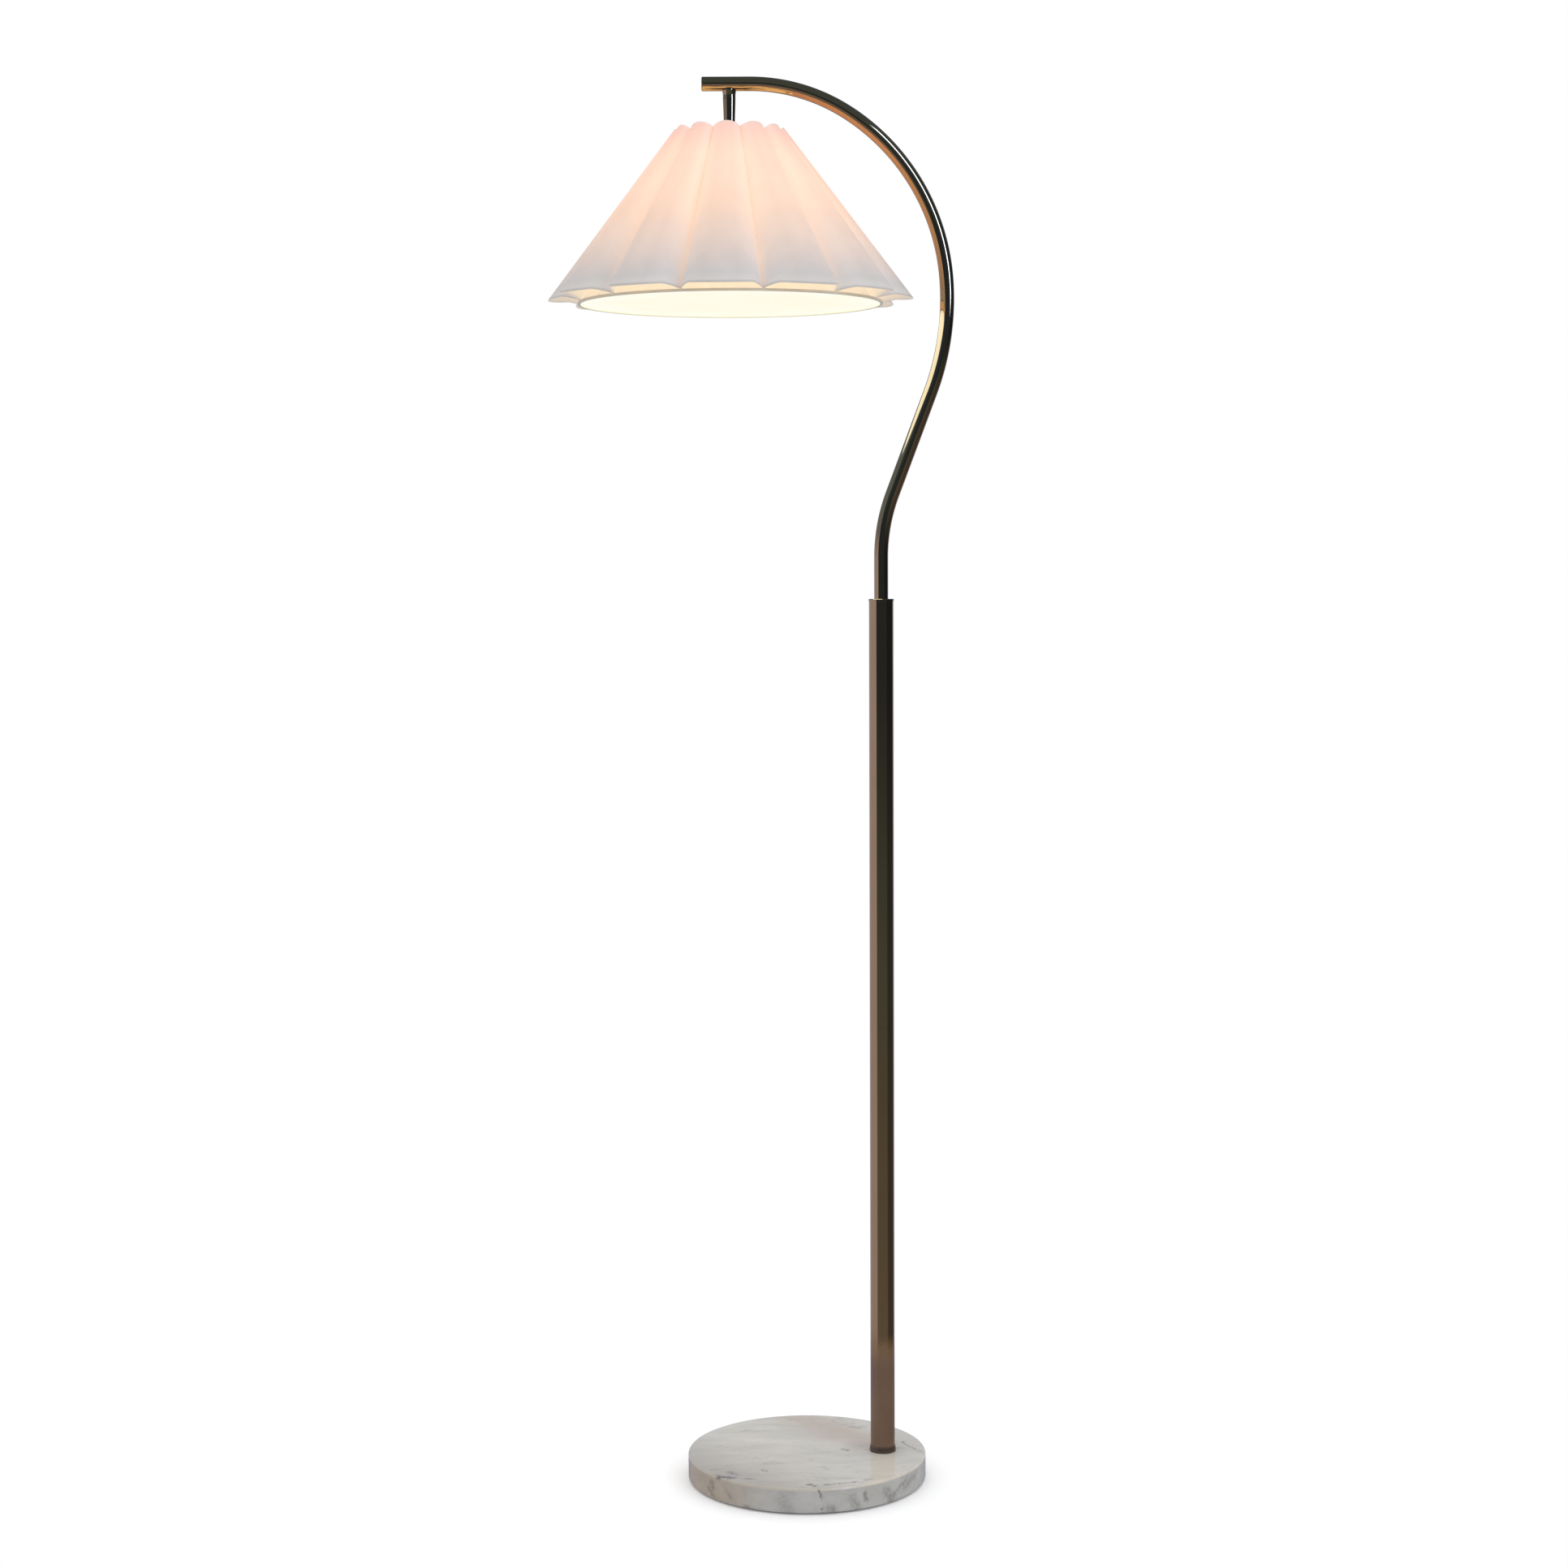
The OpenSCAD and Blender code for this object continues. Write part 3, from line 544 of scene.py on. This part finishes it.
def edge_point(end, pleat, s):
    """A point on the top or bottom edge. The bottom edge is highest at each side of a pleat's middle."""
    half = math.pi / PLEATS
    out = stand_out(s, end["curve"])
    radius = end["valley_r"] + (end["crest_r"] - end["valley_r"]) * out
    if end is TOP:
        z = TOP_Z - TOP_DROP * (1 - out)
    elif abs(s) < LOW_PEAK:
        z = LOW_Z - MIDDLE_DIP * (1 - (s / LOW_PEAK) ** 2)
    else:
        z = LOW_Z - VALLEY_DROP * ((abs(s) - LOW_PEAK) / (1 - LOW_PEAK)) ** 1.5
    angle = math.radians(FIRST_VALLEY) + (2 * pleat + 1 + s) * half
    return Vector((SHADE_AXIS.x + radius * math.sin(angle), -radius * math.cos(angle), z))


def fold_depth(s, t):
    """0 on the face of a pleat and 1 in its valley; the face is narrower toward the top."""
    flat = 0.7 * (1 - t) + 0.4 * t
    return min(1.0, max(0.0, (abs(s) - flat) / (1 - flat)) ** 2)


def build_shade():
    steps = [-math.cos(math.pi * i / ACROSS) for i in range(ACROSS)]
    columns = [(pleat, s) for pleat in range(PLEATS) for s in steps]
    points, rise, fold, across, faces = [], [], [], [], []
    for row in range(ROWS + 1):
        t = row / ROWS
        for pleat, s in columns:
            points.append(edge_point(LOW, pleat, s).lerp(edge_point(TOP, pleat, s), t))
            rise.append(t)
            fold.append(fold_depth(s, t))
            across.append(abs(s))
    count = len(columns)
    for row in range(ROWS):
        for i in range(count):
            j = (i + 1) % count
            faces.append((row * count + i, row * count + j, (row + 1) * count + j, (row + 1) * count + i))
    mesh = bpy.data.meshes.new("shade_fabric")
    mesh.from_pydata(points, [], faces)
    for label, values in (("rise", rise), ("fold", fold), ("across", across)):
        mesh.attributes.new(label, "FLOAT", "POINT").data.foreach_set("value", values)
    mesh.shade_smooth()
    for edge in mesh.edges:
        a, b = edge.vertices
        if a % count == b % count and (a % count) % ACROSS == 0:
            edge.use_edge_sharp = True
    shade = bpy.data.objects.new("shade_fabric", mesh)
    scene.collection.objects.link(shade)
    for mat in (fabric_outside(), fabric_inside()):
        mesh.materials.append(mat)
    thick = shade.modifiers.new("thickness", "SOLIDIFY")
    thick.thickness = FABRIC
    thick.offset = -1.0
    thick.material_offset = 1
    thick.material_offset_rim = 1
    return shade


shade = build_shade()
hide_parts("pleated_shade")
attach(shade, "shade")


# ---- floor, light and camera ----

def floor():
    """A plain pale floor that fades out before its edge. Polished parts don't see it."""
    radius = 0.8
    steps = 96
    mesh = bpy.data.meshes.new("floor")
    ring = [(radius * math.cos(2 * math.pi * i / steps), radius * math.sin(2 * math.pi * i / steps), 0.0)
            for i in range(steps)]
    mesh.from_pydata(ring, [], [tuple(range(steps))])
    mat, n, shader = material("floor_paper")
    shader.inputs["Base Color"].default_value = (0.93, 0.93, 0.93, 1)
    shader.inputs["Emission Color"].default_value = (1, 1, 1, 1)
    shader.inputs["Emission Strength"].default_value = 0.11
    shader.inputs["Roughness"].default_value = 0.9
    reach = n.add("VectorMath", {0: n.object_coords()}, operation="LENGTH").outputs["Value"]
    fade = n.ramp(n.math("DIVIDE", reach, radius), [(0.45, (1,) * 3), (0.95, (0,) * 3)], "EASE")
    n.link(fade, shader.inputs["Alpha"])
    mesh.materials.append(mat)
    obj = bpy.data.objects.new("floor", mesh)
    scene.collection.objects.link(obj)
    obj.location = (0, 0, -0.0005)
    obj.visible_glossy = False


# The level way in which the bright backdrop lies, seen in reflections
BACKDROP_WAY = (-0.649, 0.760, 0.0)


def world():
    """A white backdrop for the camera, a white tent for the surfaces and a dark studio for the reflections.

    In the reflections the backdrop is bright to the left and behind, the room in front and above is dark, and
    everything below is a brown floor.
    """
    scene.world = bpy.data.worlds.new("studio")
    scene.world.use_nodes = True
    n = Nodes(scene.world.node_tree)
    direction = n.add("TexCoord").outputs["Generated"]
    axes = n.add("SeparateXYZ", {"Vector": direction}).outputs
    height = n.math("MULTIPLY", n.math("ADD", axes["Z"], 1.0), 0.5)
    side = n.fade(n.vector("DOT_PRODUCT", direction, BACKDROP_WAY), -0.03, 0.03)
    ground, above = (0.27, 0.28, 0.34), (0.09, 0.15, 0.22)
    backdrop = n.ramp(height, [
        (0.360, ground), (0.368, (0.50, 0.56, 0.80)), (0.50, (0.55, 0.62, 0.90)), (0.53, (0.45, 0.52, 0.76)),
        (0.575, (0.24, 0.33, 0.50)), (0.675, (0.20, 0.32, 0.47)), (0.80, above), (1.0, above)])
    room = n.ramp(height, [
        (0.33, ground), (0.365, (0.19, 0.21, 0.23)), (0.40, (0.146, 0.17, 0.19)), (0.43, (0.10, 0.15, 0.18)),
        (0.475, (0.037, 0.056, 0.09)), (0.54, (0.030, 0.055, 0.11)), (0.60, (0.040, 0.080, 0.15)),
        (0.70, above), (1.0, above)])
    corner = n.fade(axes["X"], 0.66, 0.86, 0.6)
    room = n.mix(corner, room, (0.01, 0.015, 0.03, 1))
    tent = n.ramp(height, [
        (0.45, (0.44, 0.44, 0.44)), (0.75, (0.85, 0.85, 0.86)), (1.0, (1.35, 1.35, 1.36))])
    rays = n.add("LightPath")
    lit = n.mix(rays.outputs["Is Glossy Ray"], tent, n.mix(side, room, backdrop))
    colour = n.mix(rays.outputs["Is Camera Ray"], lit, (1, 1, 1, 1))
    background = n.add("Background", {"Color": colour, "Strength": 1.0})
    out = n.add("OutputWorld")
    n.link(background.outputs[0], out.inputs["Surface"])


def softbox(name, place, target, size, radiance, colour=(1, 1, 1), seen_by=("diffuse",), lean=0.0):
    """A rectangular soft light of a given surface brightness, seen by diffuse or glossy rays or both.

    lean turns it in its own plane, in degrees.
    """
    light = bpy.data.lights.new(name, "AREA")
    light.shape = "RECTANGLE"
    light.size, light.size_y = size
    light.energy = radiance * math.pi * size[0] * size[1]
    light.color = colour
    obj = bpy.data.objects.new(name, light)
    scene.collection.objects.link(obj)
    obj.location = place
    obj.rotation_mode = "QUATERNION"
    aim = (Vector(target) - Vector(place)).to_track_quat("-Z", "Y")
    obj.rotation_quaternion = aim @ Quaternion((0, 0, 1), math.radians(lean))
    obj.visible_camera = False
    obj.visible_diffuse = "diffuse" in seen_by
    obj.visible_glossy = "glossy" in seen_by
    return obj


def glow(node, radiance, colour):
    """A node's light on polished parts: a disc under it that only reflections see, and that rides on it."""
    low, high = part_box(node)
    light = bpy.data.lights.new("glow", "AREA")
    light.shape = "DISK"
    light.size = 1.15 * (high.x - low.x)
    light.energy = radiance * math.pi * math.pi / 4 * light.size ** 2
    light.color = colour
    obj = bpy.data.objects.new("glow", light)
    scene.collection.objects.link(obj)
    obj.location = ((low.x + high.x) / 2, (low.y + high.y) / 2, low.z - 0.003)
    obj.visible_camera = False
    obj.visible_diffuse = False
    parent = nodes[node]
    obj.parent = parent
    obj.matrix_parent_inverse = parent.matrix_world.inverted()


# The camera: its place in metres, its lens in millimetres, and its downward tilt and roll in degrees
CAMERA_PLACE = (-0.0232, -3.2266, 1.0594)
LENS = 65.18
DOWNWARD = 4.484
ROLL = 0.259


def camera():
    cam = bpy.data.cameras.new("camera")
    cam.sensor_width = 36.0
    cam.lens = LENS
    obj = bpy.data.objects.new("camera", cam)
    scene.collection.objects.link(obj)
    obj.location = CAMERA_PLACE
    obj.rotation_mode = "QUATERNION"
    pitch = Vector((1, 0, 0)), math.radians(90 - DOWNWARD)
    roll = Vector((0, 0, 1)), math.radians(-ROLL)
    obj.rotation_quaternion = Quaternion(*pitch) @ Quaternion(*roll)
    scene.camera = obj


floor()
world()
softbox("key", (1.47, -1.63, 2.0), (0, 0, 1.3), (0.9, 1.0), 1.5, (0.97, 0.98, 1.0))
softbox("glint", (1.57, -1.34, 2.25), (0.15, 0, 1.45), (0.50, 1.75), 13.0, (0.30, 0.50, 1.0), ("glossy",), 24)
glow("diffuser", 2.5, (0.42, 0.71, 1.0))
camera()
scene.view_settings.view_transform = "Standard"
